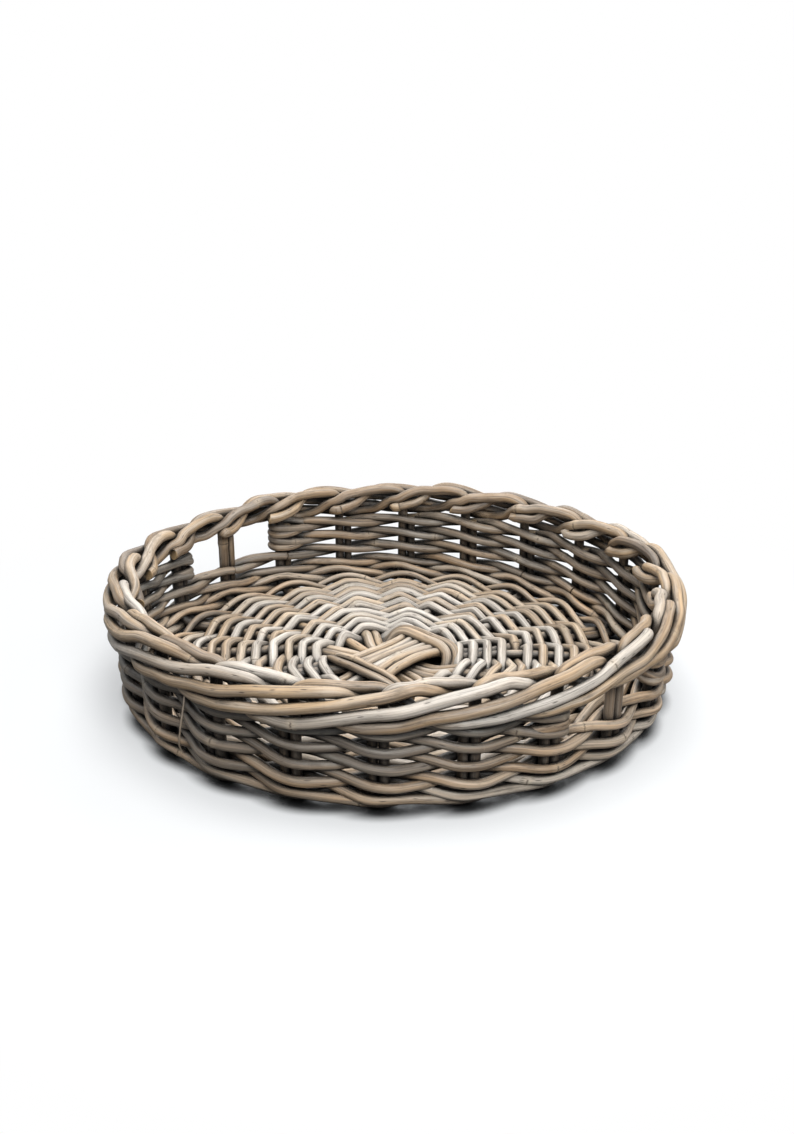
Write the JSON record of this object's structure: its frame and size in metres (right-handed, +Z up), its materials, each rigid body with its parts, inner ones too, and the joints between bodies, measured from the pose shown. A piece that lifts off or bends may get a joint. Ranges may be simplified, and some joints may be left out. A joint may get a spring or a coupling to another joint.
{
  "type": "rattan serving tray",
  "caption": "Round woven rattan serving tray with an upright wall, a rolled border and two hand holes.",
  "frame": {"origin": "on the surface that the tray stands on, under the middle of its floor", "axes": "+Z up, the two hand holes face +X and -X"},
  "size_m": [0.4995, 0.4957, 0.1057],
  "materials": {
    "stakes": "weathered grey-tan rattan, satin",
    "weavers": "weathered grey-brown rattan, satin",
    "floor": "weathered pale grey rattan, satin"
  },
  "bodies": {
    "root": {"spoke_x1": "stakes", "spoke_x2": "stakes", "spoke_x3": "stakes", "spoke_x4": "stakes", "spoke_x5": "stakes", "spoke_y1": "stakes", "spoke_y2": "stakes", "spoke_y3": "stakes", "spoke_y4": "stakes", "spoke_y5": "stakes", "spoke_y6": "stakes", "bye_stake_01": "stakes", "bye_stake_02": "stakes", "bye_stake_03": "stakes", "bye_stake_04": "stakes", "bye_stake_05": "stakes", "bye_stake_06": "stakes", "bye_stake_07": "stakes", "bye_stake_08": "stakes", "bye_stake_09": "stakes", "bye_stake_10": "stakes", "bye_stake_11": "stakes", "bye_stake_12": "stakes", "bye_stake_13": "stakes", "bye_stake_14": "stakes", "bye_stake_15": "stakes", "bye_stake_16": "stakes", "bye_stake_17": "stakes", "bye_stake_18": "stakes", "bye_stake_19": "stakes", "bye_stake_20": "stakes", "bye_stake_21": "stakes", "bye_stake_22": "stakes", "floor_weaver_1": "floor", "floor_weaver_2": "floor", "binder": "floor", "foot_weaver_1": "weavers", "foot_weaver_2": "weavers", "wale_rod_1": "weavers", "wale_rod_2": "weavers", "wale_rod_3": "weavers", "wall_weaver_1_1": "weavers", "wall_weaver_1_2": "weavers", "wall_weaver_2_1": "weavers", "wall_weaver_2_2": "weavers", "hand_hole_weaver_1_1": "weavers", "hand_hole_weaver_1_2": "weavers", "hand_hole_weaver_1_3": "weavers", "hand_hole_weaver_1_4": "weavers", "hand_hole_weaver_2_1": "weavers", "hand_hole_weaver_2_2": "weavers", "hand_hole_weaver_2_3": "weavers", "hand_hole_weaver_2_4": "weavers"}
  },
  "joints": []
}
